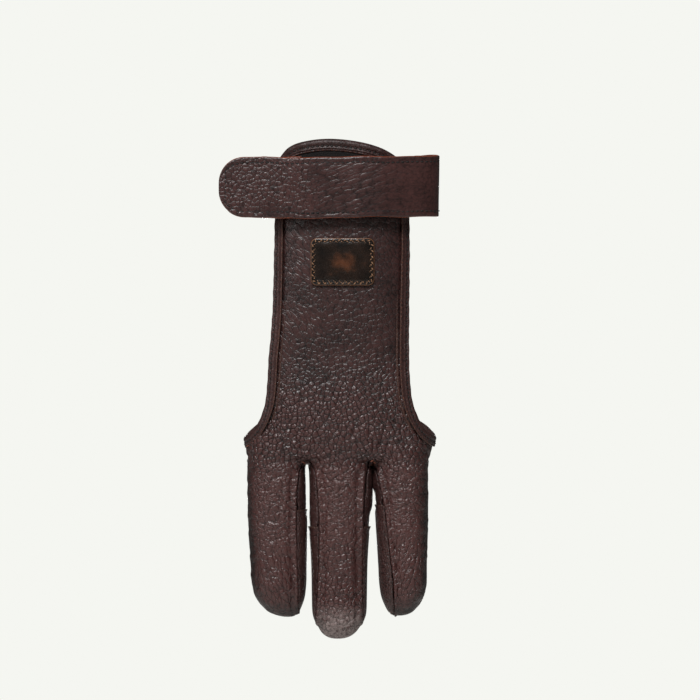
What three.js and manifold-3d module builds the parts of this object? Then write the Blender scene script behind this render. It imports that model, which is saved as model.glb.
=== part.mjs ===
// A three-finger archery glove in leather, in the form that it has on a right hand held fingers down.
// Millimetres, +Z up along the forearm, the back of the hand faces -Y, the index finger is on the +X side.
// The origin is the middle of the wrist strap's loop.
import * as THREE from "three";
import { mergeVertices } from "three/addons/utils/BufferGeometryUtils.js";
import Module from "manifold-3d";

const wasm = await Module();
wasm.setup();

// Leather layers, and the seam gap that sewn layers keep
const leather = 1.4;
const seamGap = 0.3;
const bindingLeather = 0.9;
const bindingWidth = 4.8;
const padLeather = 1.0;
const patchLeather = 1.2;
const loopTape = 1.2;
const hookTape = 1.2;
const strapLeather = 2.2;

// The wrist and the hand that the leather is shaped on, outside the leather
const wristWidth = 60;
const wristDepth = 41;
const knuckleWidth = 79;
const crotchDrop = 115; // from the strap's middle down to where the fingers part
const sideSeam = -4.5; // the Y place of the seam on the outer sides of the hand

// The back panel and its cuff
const panelWidth = 56;
const cuffRise = 20.2;
const palmEdgeDrop = 104.4; // where the hand opening crosses the sides of the hand
const palmEdgeRise = 10.5; // how much higher it runs over the palm

// The strap
const strapWidth = 25.4;
const strapFreeEnd = 50.8; // from the middle of the wrist to the rounded end
const strapEndRadius = 11;
const strapBow = 1.2; // how far its right end stands above its middle
const strapTilt = 0.033; // how much it rises towards the palm side

// The fastener's halves and the patch
const loopPatch = { from: -16.5, to: 22.5, low: -12 };
const hookPatch = { from: -15, to: 21, height: 22 };
const patch = { width: 26.5, height: 19.7, x: 0.7, z: -30.9, corner: 2 };

// The finger stalls: place of the middle at the base, greatest width and depth, length from where the fingers
// part, sideways lean over the whole length, sideways lean of the tip's crown, where the rounded tip and the
// pad begin as shares of the length, and on which sides the pad climbs round the finger
const stalls = {
  ring: {
    x: -27, width: 24.8, depth: 22, length: 63.8, lean: 1.6, crownLean: 3.1,
    domeFrom: 0.7, padFrom: 0.29, padLeft: 0, padRight: 1,
  },
  middle: {
    x: -0.65, width: 26.4, depth: 22.8, length: 72.9, lean: 0, crownLean: -0.6,
    domeFrom: 0.8, padFrom: 0.36, padLeft: 1, padRight: 1,
  },
  index: {
    x: 25, width: 23.4, depth: 21.4, length: 63.4, lean: 1, crownLean: -2,
    domeFrom: 0.7, padFrom: 0.26, padLeft: 1, padRight: 0,
  },
};
const stallMiddle = -6.2; // the Y place of the stalls' middle at the base
const padStep = 0.04; // the share of a stall's length over which it draws in to go under the pad
const tipCurl = 2.2; // how far the tips bend to the palm side
const domePower = 2.4; // how full the rounded tips are

// The hand, down from the strap's middle: down is a share of crotchDrop, spread goes from the wrist's width to
// the knuckles', lean is a share of half the knuckles' width, back, palm and widest of half the wrist's depth,
// square is the section's power
const handRows = [
  { down: -0.22, spread: 0.02, lean: 0.0, back: 1.0, palm: 1.0, widest: 0.0, square: 3.0 },
  { down: 0.0, spread: 0.0, lean: 0.0, back: 1.0, palm: 1.0, widest: 0.0, square: 3.0 },
  { down: 0.17, spread: 0.06, lean: 0.0, back: 0.99, palm: 0.97, widest: 0.0, square: 3.0 },
  { down: 0.38, spread: 0.38, lean: 0.0, back: 0.97, palm: 0.86, widest: -0.05, square: 2.8 },
  { down: 0.6, spread: 0.78, lean: 0.0, back: 0.965, palm: 0.72, widest: -0.12, square: 2.6 },
  { down: 0.78, spread: 0.98, lean: 0.0, back: 0.96, palm: 0.57, widest: -0.18, square: 2.5 },
  { down: 0.9, spread: 1.0, lean: -0.01, back: 0.925, palm: 0.44, widest: -0.22, square: 2.5 },
  { down: 0.96, spread: 0.885, lean: -0.022, back: 0.87, palm: 0.35, widest: -0.25, square: 2.5 },
  { down: 0.985, spread: 0.83, lean: -0.032, back: 0.81, palm: 0.27, widest: -0.26, square: 2.5 },
  { down: 1.0, spread: 0.7, lean: -0.033, back: 0.7, palm: 0.15, widest: -0.27, square: 2.5 },
];

// The stalls along their length: ring, middle and index are shares of half their own width, deep of half
// their depth
const stallRows = [
  { along: -0.3, ring: 0.9, middle: 0.93, index: 0.9, deep: 0.94 },
  { along: 0.0, ring: 0.98, middle: 1.0, index: 0.98, deep: 1.0 },
  { along: 0.3, ring: 1.0, middle: 0.985, index: 0.95, deep: 0.94 },
  { along: 0.55, ring: 0.96, middle: 0.9, index: 0.89, deep: 0.88 },
  { along: 0.8, ring: 0.9, middle: 0.872, index: 0.83, deep: 0.83 },
];

// The seams between back and palm leather, as shares of half a stall's width off its middle
const seamRows = [
  { along: -0.02, ring: 0.93, middleLeft: 0.93, middleRight: 0.95, index: 0.98 },
  { along: 0.06, ring: 0.76, middleLeft: 0.76, middleRight: 0.82, index: 0.86 },
  { along: 0.3, ring: 0.65, middleLeft: 0.65, middleRight: 0.76, index: 0.6 },
  { along: 0.55, ring: 0.63, middleLeft: 0.65, middleRight: 0.75, index: 0.47 },
  { along: 0.8, ring: 0.63, middleLeft: 0.72, middleRight: 0.74, index: 0.34 },
  { along: 1.1, ring: 0.63, middleLeft: 0.78, middleRight: 0.74, index: 0.34 },
];

// The panel's sides from the cuff to the flare: down is a share of palmEdgeDrop, left and right of half the
// panel's width, flare goes from there to the knuckles' width
const panelRows = [
  { down: -0.08, left: 0.95, right: 0.93, flare: 0.0 },
  { down: 0.142, left: 0.965, right: 1.0, flare: 0.0 },
  { down: 0.49, left: 1.0, right: 1.0, flare: 0.0 },
  { down: 0.688, left: 1.06, right: 1.0, flare: 0.0 },
  { down: 0.82, left: 1.08, right: 1.02, flare: 0.02 },
  { down: 0.89, left: 1.08, right: 1.02, flare: 0.17 },
  { down: 0.943, left: 1.08, right: 1.02, flare: 0.39 },
  { down: 0.97, left: 1.08, right: 1.02, flare: 0.57 },
  { down: 0.99, left: 1.08, right: 1.02, flare: 0.83 },
  { down: 1.0, left: 1.08, right: 1.02, flare: 1.12 },
];

// The cuff's arched edge from left to right: across is a share of half the panel's width, rise of cuffRise
const cuffRows = [
  { across: -0.86, rise: 0.71 },
  { across: -0.72, rise: 0.89 },
  { across: -0.35, rise: 1.0 },
  { across: 0.0, rise: 1.0 },
  { across: 0.37, rise: 0.92 },
  { across: 0.67, rise: 0.78 },
  { across: 0.85, rise: 0.6 },
];

// The strap from its free end round the wrist to its sewn end. Over the front its shares are of half the
// wrist's width and of half its depth with the fastener's layers, behind it of both with the binding's
const strapRows = [
  { over: "front", across: -1.3, deep: -0.925 },
  { over: "front", across: -0.95, deep: -0.94 },
  { over: "front", across: -0.55, deep: -0.975 },
  { over: "front", across: 0.0, deep: -1.0 },
  { over: "front", across: 0.5, deep: -0.985 },
  { over: "front", across: 0.95, deep: -0.86 },
  { over: "front", across: 1.22, deep: -0.74 },
  { over: "front", across: 1.33, deep: -0.55 },
  { over: "front", across: 1.27, deep: -0.36 },
  { over: "behind", across: 1.06, deep: -0.12 },
  { over: "behind", across: 1.01, deep: 0.2 },
  { over: "behind", across: 0.88, deep: 0.72 },
  { over: "behind", across: 0.5, deep: 0.97 },
  { over: "behind", across: 0.0, deep: 1.02 },
  { over: "behind", across: -0.5, deep: 0.97 },
  { over: "behind", across: -0.88, deep: 0.72 },
  { over: "behind", across: -1.02, deep: 0.2 },
  { over: "behind", across: -1.01, deep: -0.3 },
  { over: "behind", across: -0.9, deep: -0.73 },
  { over: "behind", across: -0.72, deep: -0.9 },
  { over: "behind", across: -0.5, deep: -0.965 },
];

// Steps of the meshes
const outerSides = { hand: 42, stall: 18 };
const innerSides = { hand: 28, stall: 12 };
const handLevels = 14;
const domeLevels = 5;
const bindingStations = 54;
const strapStations = 64;

// Lengths that follow
const wristHalf = wristWidth / 2;
const knuckleHalf = knuckleWidth / 2;
const depthHalf = wristDepth / 2;
const panelHalf = panelWidth / 2;
const edgeInset = bindingLeather + seamGap;
const padRoom = padLeather + seamGap;
const far = 3 * crotchDrop;
const fastenerLayers = 3 * seamGap + loopTape + hookTape + strapLeather / 2;
const bindingLayers = 2 * seamGap + bindingLeather + strapLeather / 2;

const lerp = THREE.MathUtils.lerp;
const clamp = THREE.MathUtils.clamp;

// A table read between its rows along one column, smoothly.
function readRows(rows, column, place, wanted) {
  let i = 0;
  while (i < rows.length - 2 && place > rows[i + 1][column]) i += 1;
  const [before, low, high, after] = [
    rows[Math.max(i - 1, 0)],
    rows[i],
    rows[i + 1],
    rows[Math.min(i + 2, rows.length - 1)],
  ];
  const span = high[column] - low[column];
  const t = clamp((place - low[column]) / span, 0, 1);
  const slope = (a, b) => (b[wanted] - a[wanted]) / Math.max(b[column] - a[column], 1e-6);
  const startSlope = slope(before, high) * span;
  const endSlope = slope(low, after) * span;
  const t2 = t * t;
  const t3 = t2 * t;
  return (
    (2 * t3 - 3 * t2 + 1) * low[wanted] +
    (t3 - 2 * t2 + t) * startSlope +
    (3 * t2 - 2 * t3) * high[wanted] +
    (t3 - t2) * endSlope
  );
}

// A section is a rounded outline: its left, right, back and palm reach, the depth where it is widest, its
// power and its height. This is its point at an angle, 0 at the right and a quarter turn at the palm.
function sectionPoint(section, angle, grow) {
  const middle = (section.left + section.right) / 2;
  const half = (section.right - section.left) / 2 + grow;
  const deep = (Math.sin(angle) < 0 ? section.widest - section.back : section.palm - section.widest) + grow;
  const power = 2 / section.square;
  const rounded = (value) => Math.sign(value) * Math.abs(value) ** power;
  return new THREE.Vector3(
    middle + half * rounded(Math.cos(angle)),
    section.widest + deep * rounded(Math.sin(angle)),
    section.z,
  );
}

function handSection(z) {
  const down = -z / crotchDrop;
  const read = (wanted) => readRows(handRows, "down", down, wanted);
  const half = lerp(wristHalf, knuckleHalf, read("spread"));
  const middle = knuckleHalf * read("lean");
  return {
    left: middle - half,
    right: middle + half,
    back: -depthHalf * read("back"),
    palm: depthHalf * read("palm"),
    widest: depthHalf * read("widest"),
    square: read("square"),
    z,
  };
}

// A stall's section at a share of its length, with room under the pad on the sides that the pad covers.
function stallSection(name, along) {
  const stall = stalls[name];
  const straight = Math.min(along, stall.domeFrom);
  const dome = Math.max(along - stall.domeFrom, 0) / (1 - stall.domeFrom);
  const roundness = Math.max(1 - dome ** domePower, 0) ** (1 / domePower);
  const share = readRows(stallRows, "along", straight, name) * roundness;
  const deepShare = readRows(stallRows, "along", straight, "deep") * roundness;
  const middle = stall.x + stall.lean * along + stall.crownLean * dome ** 4;
  const half = (stall.width / 2) * share;
  const deep = (stall.depth / 2) * deepShare;
  const covered = THREE.MathUtils.smoothstep(along, stall.padFrom - padStep, stall.padFrom);
  const room = padRoom * covered * roundness;
  const centre = stallMiddle + tipCurl * Math.max(along, 0) ** 2;
  return {
    left: middle - half + room * stall.padLeft,
    right: middle + half - room * stall.padRight,
    back: centre - deep,
    palm: centre + deep - room,
    widest: centre,
    square: 2.3,
    z: -crotchDrop - stall.length * along,
  };
}

// A closed skin over rings of points that all go round the same way, with a fan over each end.
function skin(rings) {
  const sides = rings[0].length;
  const positions = [];
  const faces = [];
  for (const ring of rings) for (const point of ring) positions.push(point.x, point.y, point.z);
  for (let i = 0; i < rings.length - 1; i += 1) {
    for (let j = 0; j < sides; j += 1) {
      const a = i * sides + j;
      const b = i * sides + ((j + 1) % sides);
      faces.push(a, a + sides, b, b, a + sides, b + sides);
    }
  }
  for (const [ring, first] of [[rings[0], 0], [rings.at(-1), (rings.length - 1) * sides]]) {
    const middle = ring.reduce((sum, point) => sum.add(point), new THREE.Vector3()).divideScalar(sides);
    const hub = positions.length / 3;
    positions.push(middle.x, middle.y, middle.z);
    for (let j = 0; j < sides; j += 1) {
      const next = first + ((j + 1) % sides);
      if (first === 0) faces.push(hub, first + j, next);
      else faces.push(hub, next, first + j);
    }
  }
  const geometry = new THREE.BufferGeometry();
  geometry.setAttribute("position", new THREE.Float32BufferAttribute(positions, 3));
  geometry.setIndex(faces);
  return geometry;
}

function solid(geometry) {
  geometry.deleteAttribute("normal");
  geometry.deleteAttribute("uv");
  const merged = mergeVertices(geometry, 1e-4);
  return new wasm.Manifold(
    new wasm.Mesh({
      numProp: 3,
      vertProperties: new Float32Array(merged.attributes.position.array),
      triVerts: new Uint32Array(merged.index.array),
    }),
  );
}

function ringOf(section, body, grow) {
  const sides = (grow < 0 ? innerSides : outerSides)[body];
  return Array.from({ length: sides }, (_, j) => sectionPoint(section, (j / sides) * 2 * Math.PI, grow));
}

// The hand's body from the cuff to where the fingers part, grown or shrunk by a layer.
function handBody(grow) {
  const top = handRows[0].down * -crotchDrop;
  const bottom = -crotchDrop - grow;
  const rings = [];
  for (let i = 0; i <= handLevels; i += 1) {
    const t = Math.sin((i / handLevels) * (Math.PI / 2)); // closer levels near the rounded lower end
    const z = lerp(top, bottom, t);
    const section = handSection(z + grow * t);
    section.z = z;
    rings.push(ringOf(section, "hand", grow));
  }
  return solid(skin(rings));
}

// A stall, grown or shrunk square to its own surface so that its tip keeps its wall.
function stallBody(name, grow) {
  const stall = stalls[name];
  const places = [-0.3, 0, stall.padFrom - padStep, stall.padFrom, stall.padFrom + 0.12, 0.58];
  for (let i = 0; i < domeLevels; i += 1) {
    const q = Math.sin((i / domeLevels) * (Math.PI / 2));
    places.push(stall.domeFrom + (1 - stall.domeFrom) * q);
  }
  places.push(stall.domeFrom + (1 - stall.domeFrom) * 0.993, 0.9999);
  places.sort((a, b) => a - b);
  const reach = (along) => {
    const section = stallSection(name, along);
    return (section.right - section.left + section.palm - section.back) / 4;
  };
  const step = 1e-4;
  const rings = places.map((along) => {
    const shrink = (reach(along - step) - reach(along)) / (step * stall.length);
    const outward = along > stall.domeFrom ? 1 / Math.hypot(1, shrink) : 1;
    const tipward = along > stall.domeFrom ? shrink / Math.hypot(1, shrink) : 0;
    const section = stallSection(name, along);
    section.z -= grow * tipward;
    return ringOf(section, "stall", grow * outward);
  });
  return solid(skin(rings));
}

function joined(solids) {
  return solids.reduce((whole, next) => whole.add(next));
}

// A cut can leave a crumb beside the piece: only the piece is kept.
function mainBody(whole) {
  return whole.decompose().reduce((most, next) => (next.volume() > most.volume() ? next : most));
}

const stallNames = Object.keys(stalls);

function gloveBody(grow) {
  return joined([handBody(grow), ...stallNames.map((name) => stallBody(name, grow))]);
}

// A block with an outline seen from the front, between two depths.
function block(outline, from, to) {
  const shape = new THREE.Shape(outline);
  const geometry = new THREE.ExtrudeGeometry(shape, { depth: to - from, bevelEnabled: false });
  return geometry.rotateX(Math.PI / 2).translate(0, to, 0);
}

function plate(outline, from, to) {
  return solid(block(outline, from, to));
}

function roundedRectangle(width, height, corner, x, z) {
  const shape = new THREE.Shape();
  const left = x - width / 2;
  const right = x + width / 2;
  const low = z - height / 2;
  const high = z + height / 2;
  shape.moveTo(left + corner, low);
  shape.lineTo(right - corner, low);
  shape.absarc(right - corner, low + corner, corner, -Math.PI / 2, 0, false);
  shape.lineTo(right, high - corner);
  shape.absarc(right - corner, high - corner, corner, 0, Math.PI / 2, false);
  shape.lineTo(left + corner, high);
  shape.absarc(left + corner, high - corner, corner, Math.PI / 2, Math.PI, false);
  shape.lineTo(left, low + corner);
  shape.absarc(left + corner, low + corner, corner, Math.PI, 1.5 * Math.PI, false);
  return shape.getPoints(4);
}

// The finished edge of the glove's back, from the left flare over the cuff to the right flare.
function backEdge() {
  const side = (row, share, sign) =>
    new THREE.Vector2(sign * lerp(panelHalf * share, knuckleHalf + edgeInset, row.flare), -palmEdgeDrop * row.down);
  const left = panelRows.map((row) => side(row, row.left, -1)).reverse();
  const right = panelRows.map((row) => side(row, row.right, 1));
  const cuff = cuffRows.map((row) => new THREE.Vector2(panelHalf * row.across, cuffRise * row.rise));
  return new THREE.SplineCurve([...left, ...cuff, ...right]);
}

// The same edge moved inwards by a layer.
function backEdgeInside(inset, steps) {
  const curve = backEdge();
  return Array.from({ length: steps + 1 }, (_, i) => {
    const t = i / steps;
    const tangent = curve.getTangent(t);
    return curve.getPoint(t).add(new THREE.Vector2(tangent.y, -tangent.x).multiplyScalar(inset));
  });
}

function palmEdgeHeight(x) {
  return -palmEdgeDrop + palmEdgeRise * (1 - clamp(x / knuckleHalf, -1, 1) ** 6);
}

const edgeSteps = 40;

// Everything on the back's side of the side seams and inside its edge.
function backPlate(inset, to) {
  const edge = backEdgeInside(inset, edgeSteps);
  const first = edge[0];
  const last = edge.at(-1);
  return plate(
    [
      new THREE.Vector2(-far, -far),
      new THREE.Vector2(-far, first.y),
      ...edge,
      new THREE.Vector2(far, last.y),
      new THREE.Vector2(far, -far),
    ],
    -far,
    to,
  );
}

function palmPlate(lift, from) {
  const steps = 24;
  const edge = Array.from({ length: steps + 1 }, (_, i) => {
    const x = lerp(-knuckleHalf, knuckleHalf, i / steps);
    return new THREE.Vector2(x, palmEdgeHeight(x) + lift);
  });
  return plate(
    [
      new THREE.Vector2(-far, -far),
      new THREE.Vector2(-far, edge[0].y),
      ...edge,
      new THREE.Vector2(far, edge.at(-1).y),
      new THREE.Vector2(far, -far),
    ],
    from,
    far,
  );
}

// Where the palm leather comes forward between two fingers: a notch with a rounded top, from the seam on one
// finger to the seam on the next.
function seamPlace(name, column, sign, along) {
  const stall = stalls[name];
  const share = readRows(seamRows, "along", along, column);
  return new THREE.Vector2(
    stall.x + stall.lean * along + sign * share * (stall.width / 2),
    -crotchDrop - stall.length * along,
  );
}

function notch(leftName, leftColumn, rightName, rightColumn, grow) {
  const places = [0.02, 0.06, 0.12, 0.2, 0.3, 0.42, 0.55, 0.7, 0.85, 1.1];
  const left = places.map((along) => seamPlace(leftName, leftColumn, 1, along));
  const right = places.map((along) => seamPlace(rightName, rightColumn, -1, along));
  for (const point of left) point.x -= grow;
  for (const point of right) point.x += grow;
  const top = new THREE.Vector2((left[0].x + right[0].x) / 2, -crotchDrop + leather + grow);
  const shoulder = (point) => new THREE.Vector2((point.x + top.x) / 2, top.y - 0.4);
  return [...left.reverse(), shoulder(left.at(-1)), top, shoulder(right[0]), ...right];
}

function notches(grow) {
  return [
    notch("ring", "ring", "middle", "middleLeft", grow),
    notch("middle", "middleRight", "index", "index", grow),
  ];
}

const outer = gloveBody(0);
const inner = gloveBody(-leather);
const shell = outer.subtract(inner);
const backHalf = backPlate(edgeInset, sideSeam - seamGap / 2);
const palmHalf = palmPlate(-edgeInset, sideSeam + seamGap / 2);

function backLeather() {
  const cut = joined(notches(seamGap).map((outline) => plate(outline, -far, far)));
  return shell.intersect(backHalf).subtract(cut);
}

function palmLeather() {
  const strips = joined(notches(0).map((outline) => plate(outline, -far, sideSeam + leather)));
  return shell.intersect(palmHalf.add(strips));
}

// A pad is a second wall over its stall, below its top edge, round to the seams on the inner sides and just
// past the underside on an outer side.
function tipPad(name) {
  const stall = stalls[name];
  const wall = stallBody(name, seamGap + padLeather).subtract(stallBody(name, seamGap));
  const top = -crotchDrop - stall.length * stall.padFrom;
  const slant = stall.width * 0.09;
  const edge = (side) => top - (side ? 0 : slant);
  const left = stall.x - stall.width;
  const right = stall.x + stall.width;
  const low = -crotchDrop - stall.length * 1.2;
  const below = [
    new THREE.Vector2(left, low),
    new THREE.Vector2(left, edge(stall.padLeft)),
    new THREE.Vector2(right, edge(stall.padRight)),
    new THREE.Vector2(right, low),
  ];
  const underside = plate(below, sideSeam + seamGap + leather, far);
  const climbs = plate(below, -far, far).intersect(
    joined(notches(0).map((outline) => plate(outline, -far, sideSeam + 2 * leather))),
  );
  return wall.intersect(underside.add(climbs));
}

// The hand opening's edge as a closed loop in the middle of the leather, with the way out of the leather and
// the way into it at each place.
function openingEdge() {
  const places = [];
  const onHand = (x, z, palmSide) => {
    const section = handSection(z);
    const half = (section.right - section.left) / 2 - leather / 2;
    const share = (x - (section.left + section.right) / 2) / half;
    if (Math.abs(share) > 1) return;
    const angle = Math.acos(Math.sign(share) * Math.abs(share) ** (section.square / 2));
    places.push({ angle: palmSide ? angle : -angle, z });
  };
  for (const point of backEdgeInside(edgeInset, edgeSteps)) onHand(point.x, point.y, false);
  const palmSteps = 20;
  for (let i = 0; i <= palmSteps; i += 1) {
    const x = knuckleHalf * Math.cos((i / palmSteps) * Math.PI);
    onHand(x, palmEdgeHeight(x) - edgeInset, true);
  }
  const at = (place, grow) => sectionPoint(handSection(place.z), place.angle, grow);
  const loop = new THREE.CatmullRomCurve3(places.map((place) => at(place, -leather / 2)), true, "centripetal");
  const outside = new THREE.CatmullRomCurve3(places.map((place) => at(place, leather)), true, "centripetal");
  return { loop, outside };
}

// The binding is folded round the edge: a rounded strip along the loop, less the leather that it holds.
function edgeBinding() {
  const { loop, outside } = openingEdge();
  const halfThick = leather / 2 + seamGap + bindingLeather;
  const profile = [];
  const roll = 4;
  for (let i = 0; i <= roll; i += 1) {
    const angle = Math.PI / 2 + (i / roll) * Math.PI;
    profile.push({ into: edgeInset * (Math.cos(angle) * 0.999), out: halfThick * Math.sin(angle) });
  }
  const flat = bindingWidth - edgeInset;
  profile.push({ into: flat, out: -halfThick }, { into: flat, out: halfThick });
  const rings = [];
  for (let i = 0; i < bindingStations; i += 1) {
    const t = i / bindingStations;
    const point = loop.getPoint(t);
    const tangent = loop.getTangent(t);
    const out = outside.getPoint(t).sub(point);
    out.addScaledVector(tangent, -out.dot(tangent)).normalize();
    const into = new THREE.Vector3().crossVectors(tangent, out);
    rings.push(
      profile.map((corner) =>
        point.clone().addScaledVector(into, corner.into).addScaledVector(out, corner.out),
      ),
    );
  }
  const grown = gloveBody(seamGap).subtract(gloveBody(-leather - seamGap));
  const held = backPlate(edgeInset - seamGap, sideSeam).add(palmPlate(seamGap - edgeInset, sideSeam));
  return mainBody(solid(closedSkin(rings)).subtract(grown.intersect(held)));
}

// A skin over rings that meet end to end.
function closedSkin(rings) {
  const sides = rings[0].length;
  const positions = rings.flat().flatMap((point) => [point.x, point.y, point.z]);
  const faces = [];
  for (let i = 0; i < rings.length; i += 1) {
    for (let j = 0; j < sides; j += 1) {
      const a = i * sides + j;
      const b = i * sides + ((j + 1) % sides);
      const c = ((i + 1) % rings.length) * sides + j;
      const d = ((i + 1) % rings.length) * sides + ((j + 1) % sides);
      faces.push(a, c, b, b, c, d);
    }
  }
  const geometry = new THREE.BufferGeometry();
  geometry.setAttribute("position", new THREE.Float32BufferAttribute(positions, 3));
  geometry.setIndex(faces);
  return geometry;
}

// A sewn-on piece that follows the back of the hand: the layer between two heights over the leather.
function layerOnBack(thickness, outline) {
  const layer = handBody(seamGap + thickness).subtract(handBody(seamGap));
  return layer.intersect(plate(outline, -far, sideSeam));
}

function leatherPatch() {
  return layerOnBack(patchLeather, roundedRectangle(patch.width, patch.height, patch.corner, patch.x, patch.z));
}

// The loops fill the cuff up to the binding's inner edge.
function loopFastener() {
  const { from, to, low } = loopPatch;
  const top = [];
  for (const point of backEdgeInside(bindingWidth + 2 * seamGap, 2 * edgeSteps)) {
    const reached = top.length ? top.at(-1).x : from;
    if (point.y > low && point.x > reached && point.x < to) top.push(point);
  }
  return layerOnBack(loopTape, [
    new THREE.Vector2(from, low),
    new THREE.Vector2(from, top[0].y),
    ...top,
    new THREE.Vector2(to, top.at(-1).y),
    new THREE.Vector2(to, low),
  ]);
}

// The strap's middle line seen from above, from the free end to the sewn end.
function strapRoute() {
  const radii = {
    front: [wristHalf, depthHalf + fastenerLayers],
    behind: [wristHalf + bindingLayers, depthHalf + bindingLayers],
  };
  const points = strapRows.map((row) => {
    const [across, deep] = radii[row.over];
    return new THREE.Vector2(row.across * across, row.deep * deep);
  });
  points.unshift(new THREE.Vector2(-strapFreeEnd, points[0].y));
  return new THREE.SplineCurve(points);
}

// The strap's loop lies a little tilted: it is made level and then sheared about its front.
function tilted(geometry) {
  const rise = strapTilt * (depthHalf + fastenerLayers);
  return geometry.applyMatrix4(new THREE.Matrix4().set(1, 0, 0, 0, 0, 1, 0, 0, 0, strapTilt, 1, rise, 0, 0, 0, 1));
}

// A band of leather or tape beside the strap's route, between two offsets to its outer side.
function strapBand(from, to, start, end, low, high) {
  const route = strapRoute();
  const steps = Math.ceil(strapStations * (end - start));
  const side = (offset) =>
    Array.from({ length: steps + 1 }, (_, i) => {
      const t = lerp(start, end, i / steps);
      const tangent = route.getTangent(t);
      return route.getPoint(t).add(new THREE.Vector2(tangent.y, -tangent.x).multiplyScalar(offset));
    });
  const shape = new THREE.Shape([...side(from), ...side(to).reverse()]);
  const geometry = new THREE.ExtrudeGeometry(shape, { depth: high - low, bevelEnabled: false });
  return solid(tilted(geometry.translate(0, 0, low)));
}

function wristStrap() {
  const half = strapWidth / 2;
  const right = wristWidth;
  const outline = new THREE.Shape();
  outline.moveTo(right, strapBow - half);
  outline.quadraticCurveTo(0, -half - strapBow / 2, strapEndRadius - strapFreeEnd, -half);
  outline.absarc(strapEndRadius - strapFreeEnd, strapEndRadius - half, strapEndRadius, -Math.PI / 2, -Math.PI, true);
  outline.lineTo(-strapFreeEnd, half - strapEndRadius);
  outline.absarc(strapEndRadius - strapFreeEnd, half - strapEndRadius, strapEndRadius, Math.PI, Math.PI / 2, true);
  outline.quadraticCurveTo(0, half - strapBow / 2, right, half + strapBow);
  const band = strapBand(-strapLeather / 2, strapLeather / 2, 0, 1, -strapWidth, strapWidth);
  return band.intersect(solid(tilted(block(outline.getPoints(8), -wristDepth, wristDepth))));
}

// The hooks lie on the strap's inner face, over the loops.
function hookFastener() {
  const route = strapRoute();
  const place = (x) => {
    let t = 0;
    while (route.getPoint(t).x < x) t += 0.002;
    return t;
  };
  const inside = strapLeather / 2 + seamGap;
  const half = hookPatch.height / 2;
  return strapBand(-inside - hookTape, -inside, place(hookPatch.from), place(hookPatch.to), -half, half);
}

const leatherBrown = 0x43332f;
const smoothBrown = 0x3a2b28;
const finishes = {
  pebbled: { color: leatherBrown, roughness: 0.55, metalness: 0 },
  smooth: { color: smoothBrown, roughness: 0.5, metalness: 0 },
  patch: { color: 0x35241c, roughness: 0.35, metalness: 0 },
  fastener: { color: 0x17110f, roughness: 0.95, metalness: 0 },
};

function piece(name, body, finish) {
  const mesh = body.getMesh();
  const geometry = new THREE.BufferGeometry();
  geometry.setAttribute("position", new THREE.BufferAttribute(new Float32Array(mesh.vertProperties), 3));
  geometry.setIndex(new THREE.BufferAttribute(new Uint32Array(mesh.triVerts), 1));
  geometry.computeVertexNormals();
  const made = new THREE.Mesh(geometry, new THREE.MeshStandardMaterial(finishes[finish]));
  made.name = name;
  return made;
}

const glove = new THREE.Group();
glove.name = "archery_glove";
glove.add(
  piece("back_leather", backLeather(), "pebbled"),
  piece("palm_leather", palmLeather(), "smooth"),
  piece("edge_binding", edgeBinding(), "smooth"),
  piece("leather_patch", leatherPatch(), "patch"),
  piece("loop_patch", loopFastener(), "fastener"),
  piece("hook_patch", hookFastener(), "fastener"),
  piece("wrist_strap", wristStrap(), "pebbled"),
  ...stallNames.map((name) => piece(name + "_tip_pad", tipPad(name), "smooth")),
);

export default glove;
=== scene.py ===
import math

import bmesh
import bpy
import numpy as np
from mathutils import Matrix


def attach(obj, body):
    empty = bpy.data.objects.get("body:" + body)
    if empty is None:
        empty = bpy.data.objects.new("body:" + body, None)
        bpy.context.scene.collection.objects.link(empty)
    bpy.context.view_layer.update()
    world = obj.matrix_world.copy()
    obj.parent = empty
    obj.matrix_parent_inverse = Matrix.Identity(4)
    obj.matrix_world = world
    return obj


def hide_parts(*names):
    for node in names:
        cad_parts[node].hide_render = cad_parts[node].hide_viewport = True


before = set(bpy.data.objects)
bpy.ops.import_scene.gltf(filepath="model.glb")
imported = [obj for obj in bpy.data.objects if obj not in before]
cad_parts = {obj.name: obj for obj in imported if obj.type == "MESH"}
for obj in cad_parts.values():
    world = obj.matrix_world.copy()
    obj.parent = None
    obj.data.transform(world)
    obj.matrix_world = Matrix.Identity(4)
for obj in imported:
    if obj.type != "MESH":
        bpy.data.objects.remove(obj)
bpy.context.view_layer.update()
scene = bpy.context.scene

# The stage: the glove hangs in the form of the hand that wore it, seen square on from a little way off,
# in front of a pale world and over a pale floor, under one large soft light and two weaker ones.
scene.view_settings.view_transform = "Standard"
camera = bpy.data.objects.new("camera", bpy.data.cameras.new("camera"))
camera.data.lens = 294
camera.data.clip_end = 20
camera.location = (0.0038, -2.4, -0.0676)
camera.rotation_euler = (math.radians(90), 0, 0)
scene.collection.objects.link(camera)
scene.camera = camera

PALE = (0.913, 0.921, 0.880, 1)
ROOM_LIGHT, ROOM_SEEN = 0.11, 1.0  # the room's strength on the glove, and as the camera sees it
scene.world = bpy.data.worlds.new("pale room")
scene.world.use_nodes = True
room_tree = scene.world.node_tree
room = room_tree.nodes["Background"]
room.inputs["Color"].default_value = PALE
seen = room_tree.nodes.new("ShaderNodeLightPath")
strength = room_tree.nodes.new("ShaderNodeMapRange")
strength.inputs["To Min"].default_value = ROOM_LIGHT
strength.inputs["To Max"].default_value = ROOM_SEEN
room_tree.links.new(seen.outputs["Is Camera Ray"], strength.inputs["Value"])
room_tree.links.new(strength.outputs["Result"], room.inputs["Strength"])

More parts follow.
